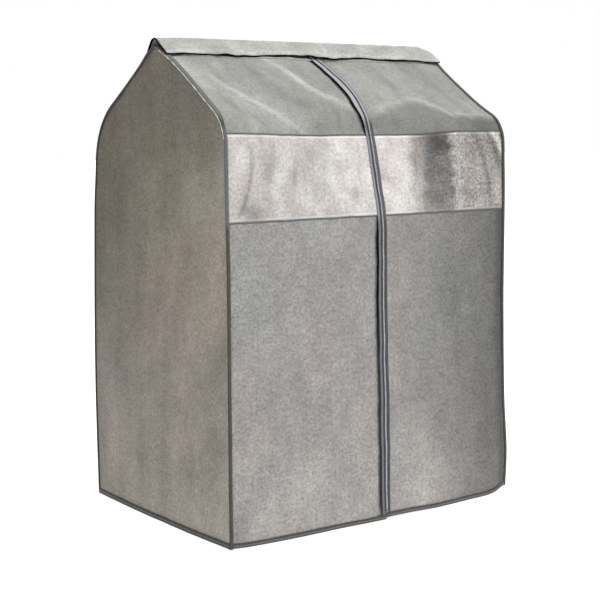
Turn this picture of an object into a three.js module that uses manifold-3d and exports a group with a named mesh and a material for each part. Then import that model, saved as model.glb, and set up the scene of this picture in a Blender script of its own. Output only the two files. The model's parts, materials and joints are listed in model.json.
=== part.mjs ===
// Gable-roofed fabric enclosure tent: a knock-down frame of steel tubes under sewn non-woven panels,
// with bound edges, a clear window strip, a full-height front zip and a flap along the ridge.
// Millimetres. X runs along the ridge, the zipped front faces -Y, +Z is up and the floor is z = 0.
import * as THREE from "three";
import { mergeVertices } from "three/addons/utils/BufferGeometryUtils.js";
import Module from "manifold-3d";

// Overall shape, over the bindings
const width = 900;
const depth = 640;
const eaveHeight = 1010; // where the front plane would meet the roof plane
const apexHeight = 1208; // where the two roof planes would meet
const frontShoulderRadius = 100;
const backShoulderRadius = 200; // the back slopes are rounder than the front ones
const ridgeRadius = 16;
const windowBottom = 777;
const windowTop = 985;

// Cloth, tapes and bindings
const gap = 0.3; // between pieces that are sewn or stacked together
const clothThickness = 1.2;
const clothInset = 3.3; // the cloth's outer face, behind the bindings' outer face
const bindingWidth = 12;
const bindingDepth = 5;
const sideHemThickness = 3;
const hemHeight = 14;
const doorHemClearance = 2; // the zipped halves hang just off the floor
const tapeWidth = 16;
const tapeThickness = 0.7;
const coilWidth = 3;
const coilHeight = 2;
const clothToZipCentre = 5;

// Tube frame
const tubeRadius = 8;
const tubeWall = 1;
const plugRadius = 6.7;
const plugLength = 22;
const tubeInset = 24; // the tubes' centre line, behind the outer face
const tubeSideInset = 22; // and in from the side hems' outer face
const plugOverlap = 1; // how far an elbow's plugs run into its body
const railHeight = 12;
const cornerBlock = 22;
const hubRadius = 10.5;
const hubReach = 14; // from a ridge connector's centre to the tube ends

// Ridge flap
const capSlope = THREE.MathUtils.degToRad(38); // of the loose front side
const capRadius = 22;
const capHalfWidth = 56;
const capStandOff = 9; // the outer face of the flap's edge over the roof plane
const capBackWidth = 34; // the sewn side falls more steeply, and ends nearer the ridge
const capBackStandOff = 2;
const capHalfLength = 448;
const stripWidth = 12; // of the hook and loop strips
const stripThickness = 1.5;
const stripHalfLength = 400;
const hookEdge = 2; // from the flap's edge to its hook strip
const loopEdge = 4; // from below the flap's edge to the loop strips
const loopToTape = 6;

// Zip slider, at the top of its run
const sliderLength = 14;
const sliderHalfWidth = 6.5;
const sliderCheek = 2.9;
const sliderTop = 2.2;
const bailTop = 4.6;
const bailThickness = 1;
const bailEdge = 2; // from the slider's ends to the bail's posts
const pullLength = 28;
const pullHalfWidth = 4;
const pullEyeEdge = 2.5; // metal beyond the eye at the pull's end
const stopLength = 3;
const pinLength = 10;
const zipBelowRidge = 16;

const halfWidth = width / 2;
const halfDepth = depth / 2;
const roofSlope = Math.atan2(apexHeight - eaveHeight, halfDepth);
const shoulderTurn = Math.PI / 2 - roofSlope;
const tubeX = halfWidth - tubeSideInset;
const panelEdge = halfWidth - bindingWidth - gap; // where a panel meets the corner binding
const clothHigh = -clothInset;
const clothLow = clothHigh - clothThickness;
const tapeLow = clothHigh + gap;
const tapeHigh = tapeLow + tapeThickness;
const coilLow = tapeHigh + gap;
const coilHigh = coilLow + coilHeight;

const colours = {
  roof: 0xb2b3ad,
  body: 0x9c9994,
  side: 0x857c73,
  window: 0xd0ccc8,
  binding: 0x4a4944,
  tape: 0x66696b,
  coil: 0x4e5058,
  strip: 0x8c8d8a,
  tube: 0xb9bcbe,
  plastic: 0xd4d5d2,
  metal: 0x8f9294,
};

// ---- The arch: the outer face from the front hem, up over the ridge and down to the back hem.
// A place on it is its distance s along the arch; its normal points out.

// One half of the arch, from its hem to the middle of the ridge, drawn as the front one
function makeHalf(shoulderRadius) {
  const tangent = shoulderRadius * Math.tan(shoulderTurn / 2);
  const wallEnd = eaveHeight - tangent;
  const roofStart = wallEnd + shoulderRadius * shoulderTurn;
  const toRidgeBend = halfDepth / Math.cos(roofSlope) - ridgeRadius * Math.tan(roofSlope);
  const ridgeStart = roofStart + toRidgeBend - tangent;
  const end = ridgeStart + ridgeRadius * roofSlope;
  const ridgeCentreZ = apexHeight - ridgeRadius / Math.cos(roofSlope);

  function place(s) {
    if (s <= wallEnd) return { y: -halfDepth, z: s, ny: -1, nz: 0 };
    if (s <= roofStart) {
      const turn = (s - wallEnd) / shoulderRadius;
      const [ny, nz] = [-Math.cos(turn), Math.sin(turn)];
      const centreY = -halfDepth + shoulderRadius;
      return { y: centreY + shoulderRadius * ny, z: wallEnd + shoulderRadius * nz, ny, nz };
    }
    if (s >= ridgeStart) {
      const turn = (end - s) / ridgeRadius;
      const [ny, nz] = [-Math.sin(turn), Math.cos(turn)];
      return { y: ridgeRadius * ny, z: ridgeCentreZ + ridgeRadius * nz, ny, nz };
    }
    const down = toRidgeBend + ridgeRadius * Math.tan(roofSlope) - tangent - (s - roofStart);
    return {
      y: -down * Math.cos(roofSlope),
      z: apexHeight - down * Math.sin(roofSlope),
      ny: -Math.sin(roofSlope),
      nz: Math.cos(roofSlope),
    };
  }
  place.corners = [wallEnd, roofStart];
  place.bends = [[wallEnd, roofStart]];
  return { wallEnd, roofStart, ridgeStart, end, shoulderRadius, place };
}

const front = makeHalf(frontShoulderRadius);
const back = makeHalf(backShoulderRadius);
const middle = front.end; // the top of the ridge
const archEnd = front.end + back.end;

function arch(s) {
  if (s <= middle) return front.place(s);
  const { y, z, ny, nz } = back.place(archEnd - s);
  return { y: -y, z, ny: -ny, nz };
}
arch.bends = [
  [front.wallEnd, front.roofStart],
  [front.ridgeStart, archEnd - back.ridgeStart],
  [archEnd - back.roofStart, archEnd - back.wallEnd],
];
arch.corners = [...arch.bends.flat(), middle];

// Distance from the hem of a half at a height, up to the roof plane
function atHeight(half, z) {
  const above = Math.max(0, z - half.wallEnd);
  return Math.min(z, half.wallEnd) + half.shoulderRadius * Math.asin(above / half.shoulderRadius);
}

// ---- The cap: the outer face of the ridge flap, with s = 0 along its top and s < 0 in front.

const roofPlane = (y, standOff) =>
  apexHeight - y * Math.tan(roofSlope) + standOff / Math.cos(roofSlope);
const capCentreZ = roofPlane(capHalfWidth, capStandOff) +
  (capHalfWidth * Math.sin(capSlope) - capRadius) / Math.cos(capSlope);
const capBackDrop = capCentreZ - roofPlane(capBackWidth, capBackStandOff);
const capBackSlope = Math.atan2(capBackDrop, capBackWidth) +
  Math.asin(capRadius / Math.hypot(capBackDrop, capBackWidth));
const capBend = capRadius * capSlope;
const capBackBend = capRadius * capBackSlope;
const slantLength = (reach, slope) => (reach - capRadius * Math.sin(slope)) / Math.cos(slope);
const capLength = capBend + slantLength(capHalfWidth, capSlope);
const capBackLength = capBackBend + slantLength(capBackWidth, capBackSlope);

function cap(s) {
  const [side, slope] = s < 0 ? [-1, capSlope] : [1, capBackSlope];
  const turn = Math.min(Math.abs(s) / capRadius, slope);
  const along = Math.max(Math.abs(s) - capRadius * slope, 0);
  const [ny, nz] = [side * Math.sin(turn), Math.cos(turn)];
  return {
    y: capRadius * ny + side * along * Math.cos(slope),
    z: capCentreZ + capRadius * nz - along * Math.sin(slope),
    ny,
    nz,
  };
}
cap.corners = [-capBend, capBackBend];
cap.bends = [[-capBend, capBackBend]];

// ---- The zip's centre line, a little right of the middle: its X at a place on the arch

const seam = atHeight(front, windowTop);
const backSeam = archEnd - atHeight(back, windowTop);
const zipTop = middle - zipBelowRidge;
const zipLow = 12; // at the hem
const zipHigh = 22;
const zipStraightFrom = 680;

function zipX(s) {
  return zipLow + (zipHigh - zipLow) * THREE.MathUtils.smoothstep(s, hemHeight, zipStraightFrom);
}

// ---- Making solids

const wasm = await Module();
wasm.setup();

function toSolid(geometry) {
  const bare = geometry.clone();
  bare.deleteAttribute("normal");
  bare.deleteAttribute("uv");
  const merged = mergeVertices(bare, 1e-3);
  return new wasm.Manifold(
    new wasm.Mesh({
      numProp: 3,
      vertProperties: merged.attributes.position.array,
      triVerts: new Uint32Array(merged.index.array),
    }),
  );
}

function toGeometry(solid) {
  const made = solid.getMesh();
  const geometry = new THREE.BufferGeometry();
  geometry.setAttribute("position", new THREE.BufferAttribute(made.vertProperties, 3));
  geometry.setIndex(new THREE.BufferAttribute(made.triVerts, 1));
  geometry.computeVertexNormals();
  return geometry;
}

function joined(geometries) {
  return toGeometry(geometries.map(toSolid).reduce((whole, piece) => whole.add(piece)));
}

function cut(geometry, tool) {
  return toGeometry(toSolid(geometry).subtract(toSolid(tool)));
}

const piecesPerBend = 6;
const tubeSides = 24;
const rodSides = 20;

// Places from one end to the other, with extra ones round the path's bends and every `step`
function placesAlong(path, from, to, step) {
  const places = new Set([from, to, ...path.corners]);
  for (const [start, end] of path.bends) {
    for (let i = 1; i < piecesPerBend; i++) {
      places.add(start + ((end - start) * i) / piecesPerBend);
    }
  }
  for (let s = from + step; s < to; s += step) places.add(s);
  const inside = [...places].filter((s) => s >= from && s <= to).sort((a, b) => a - b);
  return inside.filter((s, i) => i === 0 || i === inside.length - 1 || s - inside[i - 1] > 0.5);
}

const valueAt = (edge, s) => (typeof edge === "function" ? edge(s) : edge);

// Bends a unit-high shape along a path: its X is placed by `across`, its Y runs from `from` to `to`
// and its Z by `lift`, from the path's face outwards.
function bent(path, from, to, step, shapeOf, across, lift) {
  const places = placesAlong(path, from, to, step);
  const geometry = shapeOf(places.length - 1);
  const position = geometry.attributes.position;
  for (let i = 0; i < position.count; i++) {
    const s = places[Math.round((position.getY(i) + 0.5) * (places.length - 1))];
    const place = path(s);
    const height = lift(position.getZ(i));
    const x = across(position.getX(i), s);
    position.setXYZ(i, x, place.y + place.ny * height, place.z + place.nz * height);
  }
  geometry.computeVertexNormals();
  return geometry;
}

// A strip that follows a path: its left and right edges are numbers or functions of s
function strip(path, { from, to, left, right, low, high, step = Infinity }) {
  return bent(
    path, from, to, step,
    (pieces) => new THREE.BoxGeometry(1, 1, 1, 1, pieces, 1),
    (x, s) => (x < 0 ? valueAt(left, s) : valueAt(right, s)),
    (z) => (z < 0 ? low : high),
  );
}

// A solid round bar that follows half the arch at the tubes' inset
function bar(half, from, to, radius) {
  return bent(
    half.place, from, to, Infinity,
    (pieces) => new THREE.CylinderGeometry(radius, radius, 1, rodSides, pieces),
    (x) => x,
    (z) => z - tubeInset,
  );
}

const root = new THREE.Group();

function add(name, geometry, colour, roughness = 0.9, metalness = 0) {
  const material = new THREE.MeshStandardMaterial({ color: colour, roughness, metalness });
  const mesh = new THREE.Mesh(geometry, material);
  mesh.name = name;
  root.add(mesh);
  return mesh;
}

// Turns a mesh's own Y axis to a direction and puts its origin at a point
function aim(mesh, point, direction) {
  mesh.position.copy(point);
  mesh.quaternion.setFromUnitVectors(new THREE.Vector3(0, 1, 0), direction.clone().normalize());
}

// ---- Frame

function addTube(name, start, end) {
  const length = start.distanceTo(end);
  const inner = tubeRadius - tubeWall;
  const profile = [
    [inner, 0],
    [tubeRadius, 0],
    [tubeRadius, length],
    [inner, length],
    [inner, 0],
  ].map(([r, y]) => new THREE.Vector2(r, y));
  const mesh = add(name, new THREE.LatheGeometry(profile, tubeSides), colours.tube, 0.45, 0.6);
  aim(mesh, start, end.clone().sub(start));
}

// A round plug or collar from a point, as a geometry in place
function rod(radius, length, start, direction) {
  const geometry = new THREE.CylinderGeometry(radius, radius, length, rodSides);
  geometry.translate(0, length / 2, 0);
  const turn = new THREE.Quaternion();
  turn.setFromUnitVectors(new THREE.Vector3(0, 1, 0), direction);
  return geometry.applyQuaternion(turn).translate(start.x, start.y, start.z);
}

function baseConnector(inwardX, inwardY) {
  const centre = new THREE.Vector3(0, 0, railHeight);
  const block = new THREE.BoxGeometry(cornerBlock, cornerBlock, cornerBlock);
  block.translate(0, 0, cornerBlock / 2);
  const reach = cornerBlock / 2 + plugLength;
  const upReach = cornerBlock - railHeight + plugLength;
  return joined([
    block,
    rod(plugRadius, reach, centre, new THREE.Vector3(inwardX, 0, 0)),
    rod(plugRadius, reach, centre, new THREE.Vector3(0, inwardY, 0)),
    rod(plugRadius, upReach, centre, new THREE.Vector3(0, 0, 1)),
  ]);
}

function ridgeConnector(inwardX) {
  const rafter = (side) => new THREE.Vector3(0, side * Math.cos(roofSlope), -Math.sin(roofSlope));
  const directions = [rafter(-1), rafter(1), new THREE.Vector3(inwardX, 0, 0)];
  const origin = new THREE.Vector3();
  const collar = hubReach - gap;
  return joined([
    new THREE.SphereGeometry(hubRadius, rodSides, rodSides / 2),
    ...directions.map((direction) => rod(tubeRadius, collar, origin, direction)),
    ...directions.map((direction) => rod(plugRadius, collar + plugLength, origin, direction)),
  ]);
}

function shoulderElbow(half) {
  const { wallEnd, roofStart } = half;
  return joined([
    bar(half, wallEnd, roofStart, tubeRadius),
    bar(half, wallEnd - plugLength, wallEnd + plugOverlap, plugRadius),
    bar(half, roofStart - plugOverlap, roofStart + plugLength, plugRadius),
  ]);
}

const corners = [
  ["front_left", -1, -1],
  ["front_right", 1, -1],
  ["back_left", -1, 1],
  ["back_right", 1, 1],
];
const tubeY = halfDepth - tubeInset;
const postBottom = cornerBlock + gap;
const ridgeHub = new THREE.Vector3(0, 0, roofPlane(0, -tubeInset));

// A point on the tubes' centre line, at a distance from the hem of that side's half
function tubePoint(half, s, x, sideY) {
  const { y, z, ny, nz } = half.place(s);
  return new THREE.Vector3(x, -sideY * (y - ny * tubeInset), z - nz * tubeInset);
}

for (const [corner, sideX, sideY] of corners) {
  const x = sideX * tubeX;
  const half = sideY < 0 ? front : back;
  addTube(
    "post_" + corner,
    new THREE.Vector3(x, sideY * tubeY, postBottom),
    tubePoint(half, half.wallEnd - gap, x, sideY),
  );
  const elbow = add("shoulder_elbow_" + corner, shoulderElbow(half), colours.plastic, 0.6);
  elbow.position.x = x;
  elbow.rotation.z = sideY > 0 ? Math.PI : 0;
  const downRafter = new THREE.Vector3(0, sideY * Math.cos(roofSlope), -Math.sin(roofSlope));
  addTube(
    "rafter_" + corner,
    tubePoint(half, half.roofStart + gap, x, sideY),
    ridgeHub.clone().setX(x).addScaledVector(downRafter, hubReach),
  );
  const base = add("base_connector_" + corner, baseConnector(-sideX, -sideY), colours.plastic, 0.6);
  base.position.set(x, sideY * tubeY, 0);
}

for (const [side, sideX] of [["left", -1], ["right", 1]]) {
  const hub = add("ridge_connector_" + side, ridgeConnector(-sideX), colours.plastic, 0.6);
  hub.position.copy(ridgeHub).setX(sideX * tubeX);
  const railEnd = tubeY - cornerBlock / 2 - gap;
  addTube(
    "base_rail_" + side,
    new THREE.Vector3(sideX * tubeX, -railEnd, railHeight),
    new THREE.Vector3(sideX * tubeX, railEnd, railHeight),
  );
}

function addLongTube(name, y, z, end) {
  addTube(name, new THREE.Vector3(-end, y, z), new THREE.Vector3(end, y, z));
}
addLongTube("ridge_rail", 0, ridgeHub.z, tubeX - hubReach);
addLongTube("base_rail_front", -tubeY, railHeight, tubeX - cornerBlock / 2 - gap);
addLongTube("base_rail_back", tubeY, railHeight, tubeX - cornerBlock / 2 - gap);

// ---- Cloth panels

const panelBottom = hemHeight + gap;
const cloth = { low: clothLow, high: clothHigh };
const curved = 60; // spacing of the places along an edge beside the zip
const leftOfZip = (clear) => (s) => zipX(s) - clear;
const rightOfZip = (clear) => (s) => zipX(s) + clear;

// A piece on each side of the zip, at the same clearances from its centre line
function addZipPair(names, range, near, far, layer, colour, roughness) {
  const farLeft = far === undefined ? -panelEdge : leftOfZip(far);
  const farRight = far === undefined ? panelEdge : rightOfZip(far);
  const common = { ...range, ...layer, step: curved };
  const left = strip(arch, { ...common, left: farLeft, right: leftOfZip(near) });
  const right = strip(arch, { ...common, left: rightOfZip(near), right: farRight });
  add(names[0], left, colour, roughness);
  add(names[1], right, colour, roughness);
}

const both = (start, end = "") => [start + "left" + end, start + "right" + end];

addZipPair(
  both("roof_front_"), { from: seam + gap, to: middle - gap / 2 },
  clothToZipCentre, undefined, cloth, colours.roof,
);
addZipPair(
  both("window_"), { from: windowBottom + gap, to: seam },
  clothToZipCentre, undefined, cloth, colours.window, 0.35,
);
addZipPair(
  both("front_panel_"), { from: panelBottom, to: windowBottom },
  clothToZipCentre, undefined, cloth, colours.body,
);

const acrossBack = { left: -panelEdge, right: panelEdge, ...cloth };
add(
  "roof_back",
  strip(arch, { from: middle + gap / 2, to: backSeam - gap, ...acrossBack }),
  colours.roof,
);
add(
  "back_panel",
  strip(arch, { from: backSeam, to: archEnd - panelBottom, ...acrossBack }),
  colours.body,
);

// A gable end is cut to the arch, just inside its binding
function gable(thickness) {
  const places = placesAlong(arch, panelBottom, archEnd - panelBottom, Infinity);
  const inset = bindingDepth + gap;
  const outline = places.map((s) => {
    const { y, z, ny, nz } = arch(s);
    return new THREE.Vector2(y - ny * inset, z - nz * inset);
  });
  const shape = new THREE.Shape(outline.reverse());
  const geometry = new THREE.ExtrudeGeometry(shape, { depth: thickness, bevelEnabled: false });
  const standing = new THREE.Matrix4().makeBasis(
    new THREE.Vector3(0, 1, 0),
    new THREE.Vector3(0, 0, 1),
    new THREE.Vector3(1, 0, 0),
  );
  return geometry.applyMatrix4(standing);
}
const gableInner = halfWidth - sideHemThickness;
const leftGable = add("side_left", gable(clothThickness), colours.side);
leftGable.position.x = -gableInner - gap - clothThickness;
const rightGable = add("side_right", gable(clothThickness), colours.side);
rightGable.position.x = gableInner + gap;

// ---- Bindings along the arch edges and round the hem

const bindingFoot = 0.5;
for (const [corner, sideX, sideY] of corners) {
  const outer = sideX * halfWidth;
  const inner = sideX * (halfWidth - bindingWidth);
  const [from, to] = sideY < 0
    ? [bindingFoot, middle - gap / 2]
    : [middle + gap / 2, archEnd - bindingFoot];
  add(
    "binding_" + corner,
    strip(arch, {
      from, to, low: -bindingDepth, high: 0,
      left: Math.min(outer, inner), right: Math.max(outer, inner),
    }),
    colours.binding,
  );
}

const hemLayer = { low: -bindingDepth, high: 0 };
addZipPair(
  both("hem_front_"), { from: doorHemClearance, to: hemHeight },
  gap / 2, undefined, hemLayer, colours.binding,
);
add(
  "hem_back",
  strip(arch, {
    from: archEnd - hemHeight, to: archEnd, left: -panelEdge, right: panelEdge, ...hemLayer,
  }),
  colours.binding,
);
const sideHemLength = depth - 2 * (bindingDepth + gap);
for (const [side, sideX] of [["left", -1], ["right", 1]]) {
  const hem = add(
    "hem_" + side,
    new THREE.BoxGeometry(sideHemThickness, sideHemLength, hemHeight),
    colours.binding,
  );
  hem.position.set(sideX * (halfWidth - sideHemThickness / 2), 0, hemHeight / 2);
}

// ---- Zip: tapes and coils on the roof and on the two front flaps, end stops, slider and pull

const tapeLayer = { low: tapeLow, high: tapeHigh };
const coilLayer = { low: coilLow, high: coilHigh };
const pinEnd = panelBottom + pinLength;
const roofZip = { from: seam + gap, to: zipTop };
const doorTape = { from: panelBottom, to: seam };
const doorCoil = { from: pinEnd + gap, to: seam };
const closed = gap / 2;
addZipPair(both("zip_tape_roof_"), roofZip, closed, tapeWidth, tapeLayer, colours.tape);
addZipPair(both("zip_coil_roof_"), roofZip, closed, coilWidth, coilLayer, colours.coil, 0.5);
addZipPair(both("zip_tape_door_"), doorTape, closed, tapeWidth, tapeLayer, colours.tape);
addZipPair(both("zip_coil_door_"), doorCoil, closed, coilWidth, coilLayer, colours.coil, 0.5);

function zipPiece(from, to, leftClear, rightClear, low, high) {
  return strip(arch, {
    from, to, low, high, left: leftOfZip(leftClear), right: rightOfZip(rightClear),
  });
}
add(
  "zip_insertion_pin",
  zipPiece(panelBottom, pinEnd, coilWidth, -closed, coilLow, coilHigh),
  colours.metal, 0.4, 0.7,
);
add(
  "zip_retainer_box",
  zipPiece(panelBottom, pinEnd, -closed, 2 * coilWidth, coilLow, coilHigh),
  colours.metal, 0.4, 0.7,
);
const stopFrom = zipTop + gap;
add(
  "zip_top_stop",
  zipPiece(stopFrom, stopFrom + stopLength, sliderHalfWidth, sliderHalfWidth, coilLow, sliderTop),
  colours.metal, 0.4, 0.7,
);

const sliderTo = zipTop - gap;
const sliderFrom = sliderTo - sliderLength;
const plateLow = coilHigh + gap;
const cheekLow = tapeHigh + gap;
const cheekIn = sliderHalfWidth - sliderCheek;
const bailHalf = 1;
const bailFrom = sliderFrom + bailEdge;
const bailTo = sliderTo - bailEdge;
const postLength = 2;
add(
  "zip_slider",
  joined([
    zipPiece(sliderFrom, sliderTo, sliderHalfWidth, sliderHalfWidth, plateLow, sliderTop),
    zipPiece(sliderFrom, sliderTo, sliderHalfWidth, -cheekIn, cheekLow, sliderTop),
    zipPiece(sliderFrom, sliderTo, -cheekIn, sliderHalfWidth, cheekLow, sliderTop),
    zipPiece(bailFrom, bailFrom + postLength, bailHalf, bailHalf, plateLow, bailTop),
    zipPiece(bailTo - postLength, bailTo, bailHalf, bailHalf, plateLow, bailTop),
    zipPiece(bailFrom, bailTo, bailHalf, bailHalf, bailTop - bailThickness, bailTop),
  ]),
  colours.metal, 0.35, 0.8,
);
const pullLow = sliderTop + gap;
const pullHigh = bailTop - bailThickness - gap;
const pullTo = bailFrom + postLength + pullEyeEdge;
const slotClear = 0.4;
const through = 1; // how far a cutting tool runs past the piece
add(
  "zip_pull",
  cut(
    zipPiece(pullTo - pullLength, pullTo, pullHalfWidth, pullHalfWidth, pullLow, pullHigh),
    zipPiece(
      bailFrom - slotClear, bailFrom + postLength + slotClear,
      bailHalf + slotClear, bailHalf + slotClear, pullLow - through, pullHigh + through,
    ),
  ),
  colours.metal, 0.35, 0.8,
);

// ---- Ridge flap and its hook-and-loop strips

const capLayer = { left: -capHalfLength, right: capHalfLength, low: -clothThickness, high: 0 };
add(
  "cap_front_flap",
  strip(cap, { from: -capLength, to: -gap / 2, ...capLayer }),
  colours.roof,
);
add(
  "cap_back_strip",
  strip(cap, { from: gap / 2, to: capBackLength, ...capLayer }),
  colours.roof,
);
const hookHigh = -clothThickness - gap;
const hookFrom = -capLength + hookEdge;
add(
  "flap_hook_strip",
  strip(cap, {
    from: hookFrom, to: hookFrom + stripWidth, low: hookHigh - stripThickness, high: hookHigh,
    left: -stripHalfLength, right: stripHalfLength,
  }),
  colours.strip,
);
const loopFrom = middle - (capHalfWidth - loopEdge) / Math.cos(roofSlope);
const loopRange = { from: loopFrom, to: loopFrom + stripWidth };
const loopClear = tapeWidth + loopToTape;
const loopLayer = { low: clothHigh + gap, high: clothHigh + gap + stripThickness };
const loopCommon = { ...loopRange, ...loopLayer };
add(
  "loop_strip_left",
  strip(arch, { ...loopCommon, left: -stripHalfLength, right: leftOfZip(loopClear) }),
  colours.strip,
);
add(
  "loop_strip_right",
  strip(arch, { ...loopCommon, left: rightOfZip(loopClear), right: stripHalfLength }),
  colours.strip,
);

export default root;
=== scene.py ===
"""Looks of the gable-roofed enclosure tent: sewn cloth, film window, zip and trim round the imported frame.

Metres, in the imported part's frame: X along the ridge, the zipped front faces -Y, the floor is z = 0.
Most pieces lie on the arch, the outer face from the front hem over the ridge to the back hem. A place
on the arch is (x, s), with s the distance along it.
"""
import json
import math

import bpy
import numpy as np
from mathutils import Matrix, Vector


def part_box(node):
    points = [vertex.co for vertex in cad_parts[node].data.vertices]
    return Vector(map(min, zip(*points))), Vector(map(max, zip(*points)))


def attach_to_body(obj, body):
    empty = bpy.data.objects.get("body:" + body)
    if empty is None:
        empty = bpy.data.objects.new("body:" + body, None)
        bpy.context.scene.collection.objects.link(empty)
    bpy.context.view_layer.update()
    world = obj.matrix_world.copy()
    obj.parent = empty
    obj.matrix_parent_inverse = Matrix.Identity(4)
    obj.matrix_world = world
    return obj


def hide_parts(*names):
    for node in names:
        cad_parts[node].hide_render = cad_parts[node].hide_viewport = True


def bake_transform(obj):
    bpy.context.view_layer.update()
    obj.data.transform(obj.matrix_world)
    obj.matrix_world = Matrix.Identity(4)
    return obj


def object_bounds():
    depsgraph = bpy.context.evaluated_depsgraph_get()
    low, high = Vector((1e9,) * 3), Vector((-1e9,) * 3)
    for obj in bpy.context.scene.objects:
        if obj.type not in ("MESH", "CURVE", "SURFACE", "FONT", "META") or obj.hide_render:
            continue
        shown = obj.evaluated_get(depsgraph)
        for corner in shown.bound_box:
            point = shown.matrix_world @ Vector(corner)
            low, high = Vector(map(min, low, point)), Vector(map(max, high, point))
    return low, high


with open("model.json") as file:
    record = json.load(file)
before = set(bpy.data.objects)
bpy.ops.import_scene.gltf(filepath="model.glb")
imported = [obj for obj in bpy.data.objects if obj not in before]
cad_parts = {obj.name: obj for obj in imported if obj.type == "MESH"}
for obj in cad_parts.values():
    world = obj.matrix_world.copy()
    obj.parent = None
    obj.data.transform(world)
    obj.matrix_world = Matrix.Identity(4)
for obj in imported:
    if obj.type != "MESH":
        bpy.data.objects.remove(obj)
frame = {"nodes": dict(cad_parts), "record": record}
cad_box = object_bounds()
SIDES = (("left", -1), ("right", 1))

# ---- Driving sizes

MM = 0.001
HALF_WIDTH, HALF_DEPTH, HEIGHT = cad_box[1]
EAVE = 1010 * MM  # where the front plane would meet the roof plane
FRONT_RADIUS = 100 * MM  # of the shoulders
BACK_RADIUS = 200 * MM
RIDGE_RADIUS = 16 * MM
TUBE_INSET = 24 * MM  # the ridge rail's centre line, behind the roof planes
WINDOW_TOP = 985 * MM
WINDOW_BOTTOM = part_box("front_panel_left")[1].z
HEM_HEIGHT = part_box("hem_back")[1].z
HEM_SHOWN = 13.5 * MM
GAP = 0.3 * MM  # between pieces that end at the same seam
CLOTH = 1.2 * MM  # thickness
CLOTH_INSET = 3.3 * MM  # the cloth's outer face, behind the bindings' outer face
BINDING_WIDTH = 9 * MM  # what shows of the folded tape
BINDING_DEPTH = 5 * MM
PANEL_EDGE = HALF_WIDTH - BINDING_WIDTH + 2 * MM  # the panels run in under the bindings
CLOTH_TO_ZIP = 5 * MM
CELL = 7 * MM  # of the cloth grids
BAR_CELL, FINE_BAR_CELL = 9 * MM, 6 * MM  # along the bindings and hems, and along the finer trim


def solved_slope():
    """The roof's slope, from the height of the ridge rail."""
    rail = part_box("ridge_rail")
    centre = (rail[0].z + rail[1].z) / 2
    slope = 0.5
    for _ in range(30):
        slope = math.atan2(centre + TUBE_INSET / math.cos(slope) - EAVE, HALF_DEPTH)
    return slope


SLOPE = solved_slope()
TURN = math.pi / 2 - SLOPE


class Half:
    """One half of the arch, from its hem to the middle of the ridge, drawn as the front one."""

    def __init__(self, radius):
        tangent = radius * math.tan(TURN / 2)
        self.radius = radius
        self.wall = EAVE - tangent
        self.roof = self.wall + radius * TURN
        straight = HALF_DEPTH / math.cos(SLOPE) - tangent - RIDGE_RADIUS * math.tan(SLOPE)
        self.ridge = self.roof + straight
        self.end = self.ridge + RIDGE_RADIUS * SLOPE

    def place(self, s):
        """y and z, and the normal's y and z, at distance s."""
        turn = np.clip((s - self.wall) / self.radius, 0, TURN)
        along = np.clip(s - self.roof, 0, self.ridge - self.roof)
        bend = np.clip((s - self.ridge) / RIDGE_RADIUS, 0, SLOPE)
        y = -HALF_DEPTH + self.radius * (1 - np.cos(turn)) + along * math.cos(SLOPE)
        z = np.minimum(s, self.wall) + self.radius * np.sin(turn) + along * math.sin(SLOPE)
        y = y + RIDGE_RADIUS * (math.sin(SLOPE) - np.sin(SLOPE - bend))
        z = z + RIDGE_RADIUS * (np.cos(SLOPE - bend) - math.cos(SLOPE))
        lean = turn + bend
        return y, z, -np.cos(lean), np.sin(lean)

    def at_height(self, z):
        return z if z <= self.wall else self.wall + self.radius * math.asin((z - self.wall) / self.radius)


FRONT, BACK = Half(FRONT_RADIUS), Half(BACK_RADIUS)
MIDDLE = FRONT.end
TOTAL = FRONT.end + BACK.end
SEAM = FRONT.at_height(WINDOW_TOP)
BACK_SEAM = TOTAL - BACK.at_height(WINDOW_TOP)


def arch(s):
    """y and z, and the normal's y and z, at s on the whole arch, whose back half is mirrored."""
    s = np.asarray(s, float)
    front, back = FRONT.place(np.minimum(s, FRONT.end)), BACK.place(np.minimum(TOTAL - s, BACK.end))
    return [np.where(s > MIDDLE, mirror * b, f) for mirror, b, f in zip((-1, 1, -1, 1), back, front)]


def smooth(value, start, end):
    """0 before start, 1 after end and a soft rise between them."""
    t = np.clip((value - start) / (end - start), 0, 1)
    return t * t * (3 - 2 * t)


def bell(value, centre, width):
    return np.exp(-(((value - centre) / width) ** 2))


def curve(value, points):
    """A smooth line through points (at, level, ...): the levels at each value."""
    points = np.array(points, float)
    at, levels = points[:, 0], points[:, 1:]
    slopes = np.gradient(levels, at, axis=0)
    value = np.clip(value, at[0], at[-1])
    i = np.clip(np.searchsorted(at, value, side="right") - 1, 0, len(at) - 2)
    span = (at[i + 1] - at[i])[..., None]
    t = (value - at[i])[..., None] / span
    start = (1 + 2 * t) * (1 - t) ** 2 * levels[i] + t * (1 - t) ** 2 * span * slopes[i]
    return start + t * t * (3 - 2 * t) * levels[i + 1] - t * t * (1 - t) * span * slopes[i + 1]


# ---- How the cloth hangs

ZIP_LOW, ZIP_HIGH = 12 * MM, 22 * MM  # X of the zip's centre line at the hem and from half way up


def zip_x(s):
    """X of the zip's centre line; over the roof it is sewn on a little crooked."""
    crooked = 5 * MM * smooth(s, 1.08, 1.2) * (1 - smooth(s, 1.27, 1.33))
    return ZIP_LOW + (ZIP_HIGH - ZIP_LOW) * smooth(s, HEM_HEIGHT, 680 * MM) + crooked


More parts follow.
